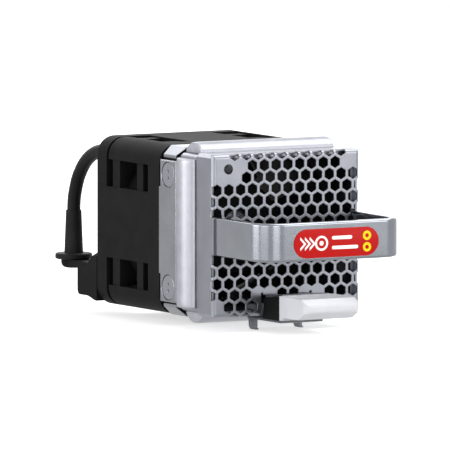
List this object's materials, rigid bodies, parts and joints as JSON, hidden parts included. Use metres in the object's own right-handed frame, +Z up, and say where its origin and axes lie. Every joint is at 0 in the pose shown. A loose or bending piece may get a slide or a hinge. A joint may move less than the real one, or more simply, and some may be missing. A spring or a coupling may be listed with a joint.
{
  "type": "switch fan tray",
  "caption": "Hot-swap fan tray for a rack switch: axial fan behind a honeycomb steel front with pull handle, squeeze latch, shielding gaskets and plug-in power lead.",
  "frame": {"origin": "on the ground plane under the latch hooks, midway along the tray's length and width (measured without the lead and its strain relief)", "axes": "+Y from the handle and air outlet at the front to the plug at the rear, which is also the direction of insertion; +Z up; +X to the right seen from the front"},
  "size_m": [0.044, 0.1018, 0.044],
  "materials": {
    "zinc_sheet": "zinc-plated sheet, satin",
    "gasket_fabric": "silvered woven fabric over foam",
    "black_plastic": "moulded, fine texture",
    "plate_steel": "satin",
    "screw_steel": "turned",
    "black_screw": "black zinc",
    "board": "glass laminate with solder mask",
    "core_steel": "laminated steel",
    "copper": "enamelled copper wire",
    "contact_brass": "gold-plated",
    "magnet": "bonded ferrite",
    "black_rubber": "soft sleeve",
    "handle_metal": "polished nickel",
    "spring_steel": "spring temper",
    "button_white": "translucent white, moulded",
    "light_lens": "clear lens",
    "grey_plastic": "moulded"
  },
  "bodies": {
    "tray": {"front_cover": "zinc_sheet", "inner_tray": "zinc_sheet", "gasket_left": "gasket_fabric", "gasket_right": "gasket_fabric", "gasket_top": "gasket_fabric", "gasket_bottom": "gasket_fabric", "adapter_frame": "black_plastic", "side_plate_left": "plate_steel", "side_plate_right": "plate_steel", "band_top": "plate_steel", "band_bottom": "plate_steel", "side_screws": "screw_steel", "fan_frame": "black_plastic", "motor_board": "board", "stator_core": "core_steel", "stator_coils": "copper", "bearing_front": "screw_steel", "bearing_rear": "screw_steel", "rear_cover": "black_plastic", "rear_screws": "black_screw", "connector_housing": "black_plastic", "connector_contacts": "contact_brass", "cable_grommet": "black_rubber", "cable": "black_rubber", "cable_boot": "black_rubber", "handle": "handle_metal", "leaf_root": "spring_steel", "latch_rivets": "screw_steel", "status_light": "light_lens", "light_holder": "grey_plastic"},
    "rotor": {"impeller": "black_plastic", "magnet_ring": "magnet", "rotor_yoke": "core_steel", "shaft": "screw_steel", "shaft_clip": "screw_steel"},
    "latch": {"latch_spring": "spring_steel", "latch_block": "black_plastic", "release_button": "button_white"}
  },
  "joints": [
    {"name": "fan_spin", "type": "hinge", "parent": "tray", "child": "rotor", "pos_m": [0, 0.00758, 0.02245], "axis": [0, 1, 0], "continuous": true},
    {"name": "latch_press", "type": "hinge", "parent": "tray", "child": "latch", "pos_m": [0, -0.00762, 0.00535], "axis": [-1, 0, 0], "range_deg": [0, 9], "stiffness_Nm_per_rad": 1.8}
  ]
}
